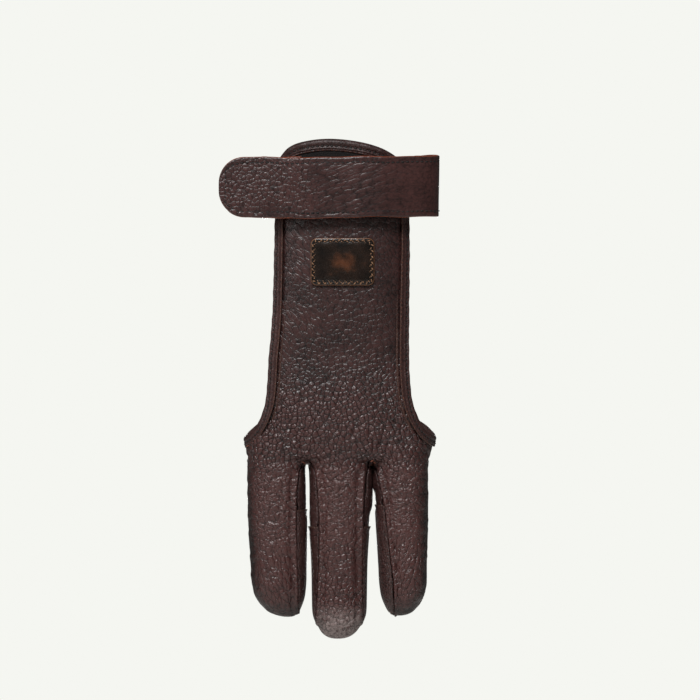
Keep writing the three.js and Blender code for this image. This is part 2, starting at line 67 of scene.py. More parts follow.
FLOOR_HEIGHT = -0.52
bpy.ops.mesh.primitive_plane_add(size=3, location=(0, 0, FLOOR_HEIGHT))
floor = bpy.context.object
floor.name = "floor"
floor_paint = bpy.data.materials.new("floor paint")
floor_paint.use_nodes = True
paint = floor_paint.node_tree.nodes["Principled BSDF"]
paint.inputs["Base Color"].default_value = (0.8, 0.8, 0.77, 1)
paint.inputs["Roughness"].default_value = 0.9
floor.data.materials.append(floor_paint)


def soft_light(name, place, aim, size, watts):
    """A square area light, turned towards its aim."""
    lamp = bpy.data.objects.new(name, bpy.data.lights.new(name, "AREA"))
    lamp.data.size = size
    lamp.data.energy = watts
    lamp.location = place
    way = lamp.location - lamp.location.__class__(aim)
    lamp.rotation_euler = way.to_track_quat("Z", "Y").to_euler()
    scene.collection.objects.link(lamp)


GLOVE_MIDDLE = (0, 0, -0.08)
soft_light("broad light", (-0.28, -1.55, 1.35), GLOVE_MIDDLE, 0.6, 42)
soft_light("side light", (-1.4, -1.2, 0.3), (0, 0, -0.1), 0.5, 3)
soft_light("back light", (0.004, 1.7, -0.068), GLOVE_MIDDLE, 0.3, 10)


# The back of the glove: one panel of pebbled cowhide that runs from the cuff over the knuckles and down
# the backs of three fingers. It is cut from one hide, shaped by wear, and turned at the side seams.
# The solid gives its place; a copy in small faces is laid on the smooth form of hand and fingers.
LEATHER = 1.4
WRIST, KNUCKLES, DEPTH = 30.0, 39.5, 20.5  # half widths and half depth
CROTCH = 115.0  # down to where the fingers part
HAND_ROWS = np.array([  # down, spread, lean, back, palm, widest, square
    [-0.22, 0.02, 0.0, 1.0, 1.0, 0.0, 3.0],
    [0.0, 0.0, 0.0, 1.0, 1.0, 0.0, 3.0],
    [0.17, 0.06, 0.0, 0.99, 0.97, 0.0, 3.0],
    [0.38, 0.38, 0.0, 0.97, 0.86, -0.05, 2.8],
    [0.6, 0.78, 0.0, 0.965, 0.72, -0.12, 2.6],
    [0.78, 0.98, 0.0, 0.96, 0.57, -0.18, 2.5],
    [0.9, 1.0, -0.01, 0.925, 0.44, -0.22, 2.5],
    [0.96, 0.885, -0.022, 0.87, 0.35, -0.25, 2.5],
    [0.985, 0.83, -0.032, 0.81, 0.27, -0.26, 2.5],
    [1.0, 0.7, -0.033, 0.7, 0.15, -0.27, 2.5],
])
STALL_ROWS = np.array([  # along, ring, middle, index, deep
    [-0.3, 0.9, 0.93, 0.9, 0.94],
    [0.0, 0.98, 1.0, 0.98, 1.0],
    [0.3, 1.0, 0.985, 0.95, 0.94],
    [0.55, 0.96, 0.9, 0.89, 0.88],
    [0.8, 0.9, 0.872, 0.83, 0.83],
])
SQUARE, DOME_SQUARE = 2.3, 2.4  # a finger's outline and its dome: 2 is an ellipse, more is squarer
STALL_MIDDLE, STALL_BEND = -6.2, 2.2  # a finger's middle, front to back, and its end's way to the palm
STALL_TOP = -104
STALLS = {  # x, width, depth, length, lean, crown lean, dome from, pad from, pad left, pad right
    "ring": (-27, 24.8, 22, 63.8, 1.6, 3.1, 0.7, 0.29, 0, 1),
    "middle": (-0.65, 26.4, 22.8, 72.9, 0, -0.6, 0.8, 0.36, 1, 1),
    "index": (25, 23.4, 21.4, 63.4, 1, -2, 0.7, 0.26, 1, 0),
}
OUTER_SIDE = {"ring": -1, "middle": 0, "index": 1}  # the side of a finger that has no neighbour
FINGER_TIP = (0.86, 0.98)  # shares of a finger's length between which its rounded tip begins
PAD_ROOM, PAD_STEP, PAD_LIP = 1.3, 0.04, 0.4  # the pad's depth in the stall, and its edge's width and rise
STRIP_DRAW = {"ring": (0.0, 0.3), "middle": (0.4, -0.8), "index": (0.1, 0.0)}  # each side's draw inwards
SEAM_ROWS = np.array([  # along, ring, middle left, middle right, index
    [-0.02, 0.93, 0.93, 0.95, 0.98],
    [0.06, 0.76, 0.76, 0.82, 0.86],
    [0.3, 0.65, 0.65, 0.76, 0.6],
    [0.55, 0.63, 0.65, 0.75, 0.47],
    [0.8, 0.63, 0.72, 0.74, 0.34],
    [1.1, 0.63, 0.78, 0.74, 0.34],
])
SEAMS = [("ring", 1, 1), ("middle", 2, -1), ("middle", 3, 1), ("index", 4, -1)]  # stall, column, side
FAR_OFF = 99.0


def read_rows(rows, place):
    """Every column of a table, read smoothly between its rows at each place along its first column."""
    i = np.clip(np.searchsorted(rows[:, 0], place) - 1, 0, len(rows) - 2)
    low, high = rows[i], rows[i + 1]
    before, after = rows[np.maximum(i - 1, 0)], rows[np.minimum(i + 2, len(rows) - 1)]
    span = (high - low)[:, :1]
    t = np.clip((place[:, None] - low[:, :1]) / span, 0, 1)
    start = (high - before) / (high - before)[:, :1] * span
    end = (after - low) / (after - low)[:, :1] * span
    return (
        (2 * t**3 - 3 * t**2 + 1) * low
        + (t**3 - 2 * t**2 + t) * start
        + (3 * t**2 - 2 * t**3) * high
        + (t**3 - t**2) * end
    )


def hand_section(z):
    """Middle, half width, back, palm, widest depth and power of the hand's outline at each height."""
    _, spread, lean, back, palm, widest, square = read_rows(HAND_ROWS, -z / CROTCH).T
    half = WRIST + (KNUCKLES - WRIST) * spread
    return KNUCKLES * lean, half, -DEPTH * back, DEPTH * palm, DEPTH * widest, square


def hand_field(p):
    """Distance out of the hand's leather, and down out of its lower end."""
    middle, half, back, palm, widest, square = hand_section(p[:, 2])
    across, deep = p[:, 0] - middle, p[:, 1] - widest
    reach = np.where(deep < 0, widest - back, palm - widest)
    ratio = (np.abs(across / half) ** square + np.abs(deep / reach) ** square) ** (1 / square)
    return np.maximum(np.hypot(across, deep) * (1 - 1 / np.maximum(ratio, 1e-3)), -CROTCH - p[:, 2])


def fade(value, start, end):
    """0 before start, 1 after end, smooth between."""
    t = np.clip((value - start) / (end - start), 0, 1)
    return t * t * (3 - 2 * t)


def stall_field(p, name, worn=False):
    """Distance out of a finger's leather. When worn, its sides draw in above the pad's lip."""
    x, width, depth, length, lean, crown, dome_from, pad_from, pad_left, pad_right = STALLS[name]
    along = (-CROTCH - p[:, 2]) / length
    dome = np.maximum(along - dome_from, 0) / (1 - dome_from)
    roundness = np.maximum(1 - np.minimum(dome, 1) ** DOME_SQUARE, 0) ** (1 / DOME_SQUARE)
    shares = read_rows(STALL_ROWS, np.minimum(along, dome_from))
    half = width / 2 * shares[:, 1 + list(STALLS).index(name)]
    reach = depth / 2 * shares[:, 4]
    if worn:
        under = fade(along, pad_from - 0.005, pad_from + PAD_STEP)
        above = fade(along, 0.0, 0.05) * (1 - fade(along, pad_from - 0.12, pad_from - 0.05))
        lip = fade(along, pad_from - 0.16, pad_from - 0.04)
        left, right = (
            climbs * (PAD_LIP + (PAD_ROOM - PAD_LIP) * under) * lip + draw * above
            for climbs, draw in zip((pad_left, pad_right), STRIP_DRAW[name])
        )
        room = PAD_LIP * lip + (PAD_ROOM - PAD_LIP) * under
    else:
        room = PAD_ROOM * fade(along, pad_from - PAD_STEP, pad_from)
        left, right = pad_left * room, pad_right * room
    middle = x + lean * along + crown * np.minimum(dome, 1.1) ** 4 + roundness * (left - right) / 2
    half = half - (left + right) / 2
    across, deep = p[:, 0] - middle, p[:, 1] - STALL_MIDDLE - STALL_BEND * np.maximum(along, 0) ** 2
    reach = np.where(deep > 0, reach - room, reach)
    oval = np.abs(across / half) ** SQUARE + np.abs(deep / reach) ** SQUARE
    ratio = oval ** (DOME_SQUARE / SQUARE) + dome**DOME_SQUARE
    radius = np.sqrt(across**2 + deep**2 + (dome * (1 - dome_from) * length) ** 2)
    return radius * (1 - 1 / np.maximum(ratio ** (1 / DOME_SQUARE), 1e-3))


def glove_field(p, worn=False):
    """Roughly how far outside the leather each point lies, with the creases filled a little."""
    above = 0.5 * np.maximum(p[:, 2] - STALL_TOP, 0)
    ring, middle, index = (stall_field(p, name, worn) + above for name in STALLS)
    touching = 2.2 * fade(p[:, 2], -130, -125)
    near = np.maximum(touching - np.abs(middle - index), 0)
    stalls = np.minimum(np.minimum(ring, middle), index) - near**2 / 7
    hand = hand_field(p)
    near = np.maximum(2.4 - np.abs(hand - stalls), 0) / 2.4
    return np.minimum(hand, stalls) - near**2 * 0.6


def worn_in(points, way, field):
    """Moves a wall from the place it was cut for to where wear has drawn it."""
    return points - way * (field(points, True) - field(points))[:, None]


def seam_distance(p):
    """How far each point lies from the nearest of the front seams, on the back leather's side of it."""
    nearest = np.full(len(p), FAR_OFF)
    for name, column, side in SEAMS:
        x, width, _, length, lean = STALLS[name][:5]
        along = (-CROTCH - p[:, 2]) / length
        share = read_rows(SEAM_ROWS, np.clip(along, -0.02, 1.1))[:, column]
        gap = side * (x + lean * along + side * share * width / 2 - p[:, 0])
        near = (along > -0.02) & (p[:, 1] < -6) & (gap > -1) & (gap < 9)
        nearest = np.where(near & (gap < nearest), gap, nearest)
    return nearest


def measured(field, p):
    """A field's distance and its way outwards, from the field's own slope."""
    step = 0.05
    slope = np.stack(
        [(field(p + step * axis) - field(p - step * axis)) / (2 * step) for axis in np.eye(3)], axis=1
    )
    steep = np.maximum(np.linalg.norm(slope, axis=1), 0.3)
    return field(p) / steep, slope / steep[:, None]


def lumps(p, size, seed=0):
    """Smooth noise from -1 to 1, between numbers scrambled from the corners of a grid. size is one length
    or three, in millimetres."""
    q = p / np.array(size) + 31.7 * (seed + 1)
    cell = np.floor(q).astype(np.int64)
    t = q - cell
    t = t * t * (3 - 2 * t)
    total = np.zeros(len(p))
    for corner in np.ndindex(2, 2, 2):
        x, y, z = (cell + corner).T
        mixed = x * 374761393 + y * 668265263 + z * 1103515245 + seed * 974634777
        mixed = (mixed ^ (mixed >> 13)) * 1274126177
        value = ((mixed ^ (mixed >> 16)) & 65535) / 32767.5 - 1
        total += value * np.prod(np.where(corner, t, 1 - t), axis=1)
    return total


def near_band(value, low, high, soft):
    """1 from low to high, 0 further out than soft."""
    return fade(value, low - soft, low) * (1 - fade(value, high, high + soft))


HELD_APART, APART_WITHIN = 0.45, 3  # how far walls beside a narrow gap are moved, and how near to it


def as_made(piece):
    """Turns an object's modifiers into its mesh."""
    evaluated = piece.evaluated_get(bpy.context.evaluated_depsgraph_get())
    piece.data = bpy.data.meshes.new_from_object(evaluated)
    piece.modifiers.clear()


def fine_copy(name, node, voxel, parted=None):
    """A copy of a solid in small even faces, as an object, and its points in millimetres. parted is a place
    across and a height: below it, walls on both sides of the place are held apart."""
    whole = bmesh.new()
    whole.from_mesh(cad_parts[node].data)
    bmesh.ops.remove_doubles(whole, verts=whole.verts, dist=2e-6)
    if parted:
        for vert in whole.verts:
            x, z = vert.co.x * 1000 - parted[0], vert.co.z * 1000
            if z < parted[1]:
                vert.co.x += math.copysign(HELD_APART * max(1 - abs(x) / APART_WITHIN, 0), x) / 1000
    mesh = bpy.data.meshes.new(name)
    whole.to_mesh(mesh)
    whole.free()
    piece = bpy.data.objects.new(name, mesh)
    scene.collection.objects.link(piece)
    small = piece.modifiers.new("small faces", "REMESH")
    small.mode = "VOXEL"
    small.voxel_size = voxel / 1000
    as_made(piece)
    piece.data.name = name
    points = np.zeros(3 * len(piece.data.vertices), np.float32)
    piece.data.vertices.foreach_get("co", points)
    return piece, points.reshape(-1, 3).astype(float) * 1000


def relaxed(piece, points, rounds):
    """The points drawn halfway to their neighbours, a few times over, which rounds off cut edges."""
    ends = np.zeros(2 * len(piece.data.edges), np.int32)
    piece.data.edges.foreach_get("vertices", ends)
    a, b = ends.reshape(-1, 2).T
    count = np.bincount(np.r_[a, b], minlength=len(points))[:, None]
    for _ in range(rounds):
        other = np.vstack([points[b], points[a]])
        total = np.stack([np.bincount(np.r_[a, b], column, len(points)) for column in other.T], axis=1)
        points = points + 0.5 * (total / count - points)
    return points


def laid(points, field, inside, outside):
    """The points of a wall on the smooth surfaces of its two sides, the way outwards at each, and 1 where a
    point is on the outer side."""
    middle = (inside + outside) / 2
    depth, way = measured(field, points)
    outer = fade(depth, middle - 0.1, middle + 0.25)
    inner = 1 - fade(depth, middle - 0.25, middle + 0.1)
    shift = outer * (outside - depth) + inner * (inside - depth)
    points = points + way * np.clip(shift, -0.9, 0.9)[:, None]
    return points, way, outer


def point_values(piece, name, values):
    """A number at every point of a piece, for its material to read."""
    values = np.asarray(values, np.float32)
    piece.data.attributes.new(name, "FLOAT", "POINT").data.foreach_set("value", values)


def finished(piece, points, outer, slot, *nodes):
    """Puts a copy's points in place and lets it stand for its solid."""
    piece.data.vertices.foreach_set("co", (points / 1000).astype(np.float32).ravel())
    point_values(piece, "outer", outer)
    piece.data.shade_smooth()
    piece.data.update()
    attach(piece, "root")
    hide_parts(*nodes)


class Signal:
    """A socket in a node tree. Sums and products of signals add the tree's Math nodes."""

    def __init__(self, tree, socket=None):
        self.tree = tree
        self.socket = socket

    def node(self, kind, settings, inputs, out=0):
        """Adds a node. Its settings are set first, then its sockets get their values or links."""
        made = self.tree.nodes.new(kind)
        for name, value in settings.items():
            if name == "stops":
                ramp = made.color_ramp.elements
                while len(ramp) < len(value):
                    ramp.new(1)
                for element, (place, colour) in zip(ramp, value):
                    element.position = place
                    element.color = (*colour, 1)
            else:
                setattr(made, name, value)
        for name, value in inputs.items():
            if isinstance(value, Signal):
                self.tree.links.new(value.socket, made.inputs[name])
            else:
                made.inputs[name].default_value = value
        return Signal(self.tree, made.outputs[out] if made.outputs else None)

    def also(self, out):
        """Another output of the node that this signal comes from."""
        return Signal(self.tree, self.socket.node.outputs[out])

    def places(self):
        """Where each point lies on the finished object."""
        return self.node("ShaderNodeTexCoord", {}, {}, "Object")

    def values(self, name):
        """The numbers that a piece carries at its points."""
        return self.node("ShaderNodeAttribute", {"attribute_name": name}, {}, "Fac")

    def ramp(self, *stops):
        """This signal as a colour between stops."""
        return self.node("ShaderNodeValToRGB", {"stops": stops}, {"Fac": self})

    def maths(self, operation, *values):
        return self.node("ShaderNodeMath", {"operation": operation}, dict(enumerate(values)))

    def __add__(self, other):
        return self.maths("ADD", self, other)

    def __sub__(self, other):
        return self.maths("SUBTRACT", self, other)

    def __rsub__(self, other):
        return self.maths("SUBTRACT", other, self)

    def __mul__(self, other):
        return self.maths("MULTIPLY", self, other)

    __radd__ = __add__
    __rmul__ = __mul__

    def __abs__(self):
        return self.maths("ABSOLUTE", self)

    def eased(self, start, end):
        """0 before start, 1 after end, smooth between."""
        span = {"Value": self, "From Min": start, "From Max": end}
        return self.node("ShaderNodeMapRange", {"interpolation_type": "SMOOTHSTEP"}, span)

    def band(self, low, high, soft):
        """1 from low to high, 0 further out than soft."""
        return self.eased(low - soft, low) * (1 - self.eased(high, high + soft))

    def mixed(self, first, second):
        """The first colour where this signal is 0, the second where it is 1."""
        colours = {"Factor": self, 6: first, 7: second}
        return self.node("ShaderNodeMix", {"data_type": "RGBA"}, colours, 2)

    def parts(self):
        """A place's x, y and z."""
        x = self.node("ShaderNodeSeparateXYZ", {}, {"Vector": self})
        return x, x.also(1), x.also(2)

    def bent(self):
        """Places moved up to 1.6 mm by noise, so that a pattern on them is less even."""
        slow = {"Vector": self, "Scale": 260.0, "Detail": 1.0}
        moved = self.node("ShaderNodeTexNoise", {}, slow, "Color")
        sum_of = {0: moved, 1: (0.0016,) * 3, 2: self}
        return self.node("ShaderNodeVectorMath", {"operation": "MULTIPLY_ADD"}, sum_of)

    def pulled(self, turn, stretch):
        """Places for a pattern drawn out along a line, which is turned from upright to the right."""
        return self.node(
            "ShaderNodeMapping",
            {"vector_type": "TEXTURE"},
            {"Vector": self, "Rotation": (0, math.radians(turn), 0), "Scale": (1, 1, stretch)},
        )

    def cracks(self, cells):
        """How far each place is from the lines between pebbles, as a share of a pebble."""
        pattern = {"Vector": self, "Scale": cells}
        return self.node("ShaderNodeTexVoronoi", {"feature": "DISTANCE_TO_EDGE"}, pattern)

    def domes(self, cells):
        """The same pebbles' rounded height, 1 at each middle."""
        away = self.node("ShaderNodeTexVoronoi", {"feature": "F1"}, {"Vector": self, "Scale": cells})
        return 1 - away * away * 1.6

    def wrinkles(self, turn, stretch, scale):
        """0 along fine winding lines, 1 beside them."""
        field = self.pulled(turn, stretch).noise(scale, 1.5)
        return abs(field - 0.5).eased(0.0, 0.055)

    def noise(self, scale, detail=2.0):
        return self.node("ShaderNodeTexNoise", {}, {"Vector": self, "Scale": scale, "Detail": detail})


def new_finish(name):
    """An empty material, and what builds its nodes."""
    material = bpy.data.materials.new(name)
    material.use_nodes = True
    material.node_tree.nodes.clear()
    return material, Signal(material.node_tree)


def shaded(build, colour, roughness, height, relief, specular=0.5, **constants):
    """Ends a finish: one Principled shader with a bump from a height, relief in metres."""
    constants["Specular IOR Level"] = specular
    normal = build.node("ShaderNodeBump", {}, {"Height": height, "Distance": relief, "Strength": 1.0})
    sockets = {"Base Color": colour, "Roughness": roughness, "Normal": normal, **constants}
    shader = build.node("ShaderNodeBsdfPrincipled", {}, sockets)
    build.node("ShaderNodeOutputMaterial", {}, {"Surface": shader})


SMALL, DRAWN = 2.3, 1.15  # times as many small pebbles, and pebbles where the hide is drawn out


def cowhide(name, cells, hide, flesh, regions):
    """Full-grain leather: pebbles in two sizes with painted shade in the lines between them, drawn out
    where the hide is stretched, and crossed by fine wrinkles, which get painted shade too. cells counts the
    pebbles in a metre. From x, y, z and a slow noise, regions gives the pebbles' depth, the painted shade
    and light on the hide (painted light where it is below 0), the drawn-out places as (turn, stretch,
    share) and the wrinkles as (turn, scale, share)."""
    material, build = new_finish(name)
    place = build.places()
    bend = place.bent()
    patchy = place.noise(60.0, 2.0)
    depth, painted_light_and_shade, drawn, lines = regions(*place.parts(), patchy)
    crack, dome, small = bend.cracks(cells), bend.domes(cells), bend.domes(cells * SMALL)
    for turn, stretch, share in drawn:
        pulled = bend.pulled(turn, stretch)
        crack = crack * (1 - share) + pulled.cracks(cells * DRAWN) * share
        dome = dome * (1 - share) + pulled.domes(cells * DRAWN) * share
    wrinkled = 0.0
    for turn, scale, share in lines:
        wrinkled = wrinkled + (1 - bend.wrinkles(turn, 5.0, scale)) * share
    # The lines between pebbles get painted shade in the colour, standing in for the shade that falls in
    # them.
    painted_crack_shade = (1 - crack.eased(0.0, 0.15)) * (depth * 0.7 + 0.25)
    height = (dome * 0.85 + small * 0.22 + crack.eased(0.0, 0.12) * 0.25) * depth
    height = height - wrinkled * 0.4 + place.noise(1300.0, 3.0) * 0.06
    shade = patchy * 0.5 + place.noise(420.0, 2.0) * 0.25 + place.noise(900.0, 2.0) * 0.25
    # The colour gets painted shade in the cracks and along the wrinkles, and the regions' painted shade and
    # light.
    shade = shade - painted_crack_shade * 0.4 - wrinkled * 0.22 - painted_light_and_shade * 0.22
    deep, light = [0.12 * c for c in hide], [1.35 * c for c in hide]
    tone = shade.ramp((0.0, deep), (0.42, hide), (0.75, light))
    side = build.values("outer")
    colour = side.eased(0.0, 0.12).mixed((*flesh, 1), tone)
    roughness = 0.335 + painted_light_and_shade * 0.02 + (1 - side) * 0.5
    return material, build, colour, roughness, height


PANEL_FACES = 0.6
RIM_TO_PALM = 0.42  # what the side rims lose when they are rounded off
back, points = fine_copy("back_panel", "back_leather", PANEL_FACES)
points = relaxed(back, points, 3)
points[:, 1] += RIM_TO_PALM * fade(points[:, 1], -5.9, -4.9)
points, way, outer = laid(points, glove_field, -LEATHER, 0.0)
points = worn_in(points, way, glove_field)
knuckles = near_band(points[:, 2], -112, -92, 10)
fingers = fade(-points[:, 2], 112, 122)
folds = (
    0.30 * lumps(points, 19.0)
    + 0.26 * knuckles * lumps(points, (7.0, 7.0, 1.9), 1)
    + 0.24 * fingers * lumps(points, (6.0, 6.0, 1.9), 2)
    + 0.10 * lumps(points, 4.5, 3)
)
for crotch_x, crotch_z in ((-14.4, -113.0), (13.4, -112.5)):  # folds that run out from where fingers part
    right_of, above = points[:, 0] - crotch_x, points[:, 2] - crotch_z
    far = np.hypot(right_of, above)
    ray = np.stack([np.arctan2(above, right_of) * 5.5, far / 14, np.zeros(len(far))], 1)
    reach = fade(far, 1.5, 4) * (1 - fade(far, 8, 18)) * fade(above, -3, 1)
    folds = folds + 0.85 * reach * lumps(ray, 1.0, 7)
free = near_band(points[:, 2], -175, 5, 8)
folds = folds * (0.3 + 0.7 * free)
SEAM_SHAPE = [(0.95, 0.9, 0.7), (-0.4, 2.6, 0.8)]  # height, place and width of its ridge and its furrow
seam = seam_distance(points)
ridge = sum(high * np.exp(-(((seam - middle) / wide) ** 2)) for high, middle, wide in SEAM_SHAPE)
ridge = ridge * fade(-points[:, 2], 116, 120)
covers = np.zeros(len(points))  # where the rim lies over a pad's edge
for name in STALLS:
    x, _, _, length, _, _, _, pad_from = STALLS[name][:8]
    along = (-CROTCH - points[:, 2]) / length
    outside = OUTER_SIDE[name] * (points[:, 0] - x)
    here = np.abs(points[:, 0] - x) < 14
    beside_pad = fade(outside, 4, 8) * fade(along, pad_from - 0.05, pad_from + 0.05)
    covers = np.maximum(covers, here * 0.3 * beside_pad)
    covers = np.maximum(covers, here * 0.65 * fade(along, *FINGER_TIP))
side_rim = fade(points[:, 1], -9.5, -5.5)
lift = folds * fade(seam, -0.5, 3.0) + ridge + covers * side_rim
points = points + way * (lift * outer)[:, None]


def back_wear_and_painted_light(x, y, z, patchy):
    """Flat over the hand and dimmed there by painted shade, deeply pebbled over the knuckles; the fingers'
    sides get painted shade and their crowns painted light.
    """
    upper_left = x.eased(0.004, -0.012) * z.eased(-0.09, -0.06)
    knuckle = z.band(-0.125, -0.098, 0.034)
    finger = z.eased(-0.112, -0.122)
    crown = (y + (z + 0.115) * 0.069).eased(-0.0118, -0.0168)
    depth = 0.26 + upper_left * 0.12 + knuckle * (1 - finger) * 0.80 + finger * (0.30 + crown * 0.62)
    depth = depth * patchy.eased(0.10, 0.50)
    # Painted shade over the hand above the knuckles and on the fingers' sides; painted light (below 0) on
    # the fingers' crowns.
    painted_light_and_shade = z.eased(-0.100, -0.070) * (1.2 - upper_left * 0.2) + finger * (1.25 - crown * 2.2)
    ring_low = finger * x.eased(-0.012, -0.020) * z.eased(-0.145, -0.155) * 0.8
    index_low = finger * x.eased(0.012, 0.020) * z.eased(-0.135, -0.150) * 0.7
    bent = finger * z.eased(-0.160, -0.140) * 0.5
    slanted = upper_left * patchy.eased(0.40, 0.55)
    drawn = [(90, 1.5, bent), (-38, 3.0, slanted), (-22, 3.0, ring_low), (24, 2.6, index_low)]
    lines = [(90, 330.0, (knuckle + finger) * 0.24), (-50, 260.0, 0.05), (20, 300.0, finger * 0.15)]
    return depth, painted_light_and_shade, drawn, lines


HIDE = (0.056, 0.0215, 0.0195)
FLESH = (0.13, 0.045, 0.025)
RUBBED = (0.26, 0.20, 0.19, 1)
finish, build, colour, roughness, height = cowhide("pebbled cowhide", 500.0, HIDE, FLESH, back_wear_and_painted_light)
place = build.places()
x, _, z = place.parts()
middle_tip = z.eased(-0.172, -0.184) * (1 - abs(x + 0.0005).eased(0.006, 0.013))
rubbed = middle_tip * place.noise(700.0, 3.0).eased(0.25, 0.6)
colour = rubbed.mixed(colour, RUBBED)
shaded(build, colour, roughness + rubbed * 0.2, height, 0.00052)
back.data.materials.append(finish)
finished(back, points, outer, "pebbled_leather", "back_leather")


# The underside: smoother, thinner-grained cowhide in one piece over the palm side of knuckles and fingers,
# with strips that come forward between the fingers to meet the back at the seams.
RING_GAP = (-14.0, -114.5)  # across and height, where the ring and middle fingers part
palm, points = fine_copy("palm_panel", "palm_leather", PANEL_FACES, parted=RING_GAP)
points = relaxed(palm, points, 3)
points, way, outer = laid(points, glove_field, -LEATHER, 0.0)
points = worn_in(points, way, glove_field)
folds = 0.25 * lumps(points, 17.0, 5) + 0.12 * lumps(points, (7.0, 7.0, 2.2), 6)
strips = (points[:, 1] < -4) & (points[:, 2] < -112)
points = points + way * (folds * outer * np.where(strips, 0.3, 1))[:, None]


def plain_side(x, y, z, patchy):
    """The same grain all over, with painted shade at the cuff and wrinkles across the fingers."""
    across_fingers = z.eased(-0.108, -0.120) * 0.35
    # The second value is painted shade on the cuff.
    return 0.7 + patchy * 0.3, z.eased(-0.002, 0.010) * 0.6, [], [(90, 300.0, across_fingers)]


PALM_HIDE = (0.050, 0.0205, 0.0185)
SMOOTH_RELIEF = 0.00026
finish, build, colour, roughness, height = cowhide("smooth cowhide", 900.0, PALM_HIDE, FLESH, plain_side)
shaded(build, colour, roughness, height, SMOOTH_RELIEF)
palm.data.materials.append(finish)
finished(palm, points, outer, "smooth_leather", "palm_leather")


# The finger pads: a second layer of smooth leather over each fingertip's underside, sewn in at the side
# seams. Their upper edges are cut raw, so a lighter brown shows across each finger.
PAD_HIDE = (0.052, 0.0215, 0.019)
PAD_EDGE = (0.075, 0.038, 0.028, 1)
PAD_FACES, PAD_INSIDE = 0.5, 0.3
pad_finish, build, colour, roughness, height = cowhide("pad leather", 900.0, PAD_HIDE, FLESH, plain_side)
colour = build.values("raw").mixed(colour, PAD_EDGE)
shaded(build, colour, roughness, height, SMOOTH_RELIEF)
for name in STALLS:
    pad, points = fine_copy(name + "_pad", name + "_tip_pad", PAD_FACES)
    points = relaxed(pad, points, 2)
    cut_for = lambda p, worn=False: stall_field(p, name, worn)
    points, way, outer = laid(points, cut_for, PAD_INSIDE, PAD_ROOM)
    points = worn_in(points, way, cut_for)
    x, width, _, length, _, _, _, pad_from, pad_left, pad_right = STALLS[name]
    across = np.clip((points[:, 0] - x) / width / 2 + 0.5, 0, 1)
    slope = (1 - pad_left) * (1 - across) + (1 - pad_right) * across
    rim = -CROTCH - length * pad_from - 0.09 * width * slope
    raw = fade(points[:, 2], rim - 0.75, rim - 0.45)
    skived = 0.45 * (1 - fade(rim - points[:, 2], 0.5, 4.0))
    outside = OUTER_SIDE[name] * (points[:, 0] - x)
    tip = fade((-CROTCH - points[:, 2]) / length, *FINGER_TIP)
    thin_side = fade(outside, 4, 9) * (1 - fade(points[:, 1], -3.0, 0.0))
    thin_tip = tip * (1 - fade(points[:, 1], -1.0, 3.0))
    thin = 0.75 * np.maximum(thin_side, thin_tip)
    points = points - way * (outer * np.maximum(thin, skived))[:, None]
    point_values(pad, "raw", raw)
    pad.data.materials.append(pad_finish)
    finished(pad, points, outer, "pad_leather", name + "_tip_pad")


# The binding: a strip of thin leather folded over the cut edge of the hand opening, all the way round,
# and sewn down in a groove with black thread. Its cut inner edge shows red-brown beside a second seam.
EDGE_INSET = 1.2
PANEL_HALF, CUFF_HEIGHT = 28.0, 20.2
PALM_DROP, PALM_RISE = 104.4, 10.5  # down to the palm edge at the sides, and how much higher its middle is
PANEL_ROWS = np.array([  # down, left, right, flare
    [-0.08, 0.95, 0.93, 0.0],
    [0.142, 0.965, 1.0, 0.0],
    [0.49, 1.0, 1.0, 0.0],
    [0.688, 1.06, 1.0, 0.0],
    [0.82, 1.08, 1.02, 0.02],
    [0.89, 1.08, 1.02, 0.17],
    [0.943, 1.08, 1.02, 0.39],
    [0.97, 1.08, 1.02, 0.57],
    [0.99, 1.08, 1.02, 0.83],
    [1.0, 1.08, 1.02, 1.12],
])
CUFF_ROWS = np.array([  # across, rise
    [-0.86, 0.71],
    [-0.72, 0.89],
    [-0.35, 1.0],
    [0.0, 1.0],
    [0.37, 0.92],
    [0.67, 0.78],
    [0.85, 0.6],
])


def spline(knots, t):
    """A smooth line through the knots, read at shares t of its length in knots."""
    place = np.clip(t, 0, 1) * (len(knots) - 1)
    i = np.minimum(place.astype(int), len(knots) - 2)
    u = (place - i)[:, None]
    a, b, c, d = (knots[np.clip(i + k, 0, len(knots) - 1)] for k in (-1, 0, 1, 2))
    square, cube = 2 * a - 5 * b + 4 * c - d, 3 * b - a - 3 * c + d
    return 0.5 * (2 * b + (c - a) * u + square * u**2 + cube * u**3)


def on_hand(angle, z, grow):
    """Points on the hand's outline, at angles round it and at heights, some way out."""
    middle, half, back_reach, palm_reach, widest, square = hand_section(z)
    reach = np.where(np.sin(angle) < 0, widest - back_reach, palm_reach - widest) + grow
    rounded = lambda value: np.sign(value) * np.abs(value) ** (2 / square)
    x = middle + (half + grow) * rounded(np.cos(angle))
    return np.stack([x, widest + reach * rounded(np.sin(angle)), z], 1)


def unit(vectors):
    """The same ways, each of length 1."""
    return vectors / np.linalg.norm(vectors, axis=1)[:, None]


def walked_along(line):
    """How far along a line each of its points lies."""
    return np.r_[0, np.cumsum(np.linalg.norm(np.diff(line, axis=0), axis=1))]


def read_along(line, walked, places):
    """A line's points at lengths along it."""
    return np.stack([np.interp(places, walked, column) for column in line.T], 1)


def closed_up(line):
    """A closed line with its first point again at its end."""
    return np.vstack([line, line[:1]])


def edge_side(share, sign):
    """One side of the panel's edge as x and height, down to the tip of its flare."""
    flare = PANEL_ROWS[:, 3]
    across = sign * (PANEL_HALF * share * (1 - flare) + (KNUCKLES + EDGE_INSET) * flare)
    return np.stack([across, -PALM_DROP * PANEL_ROWS[:, 0]], 1)


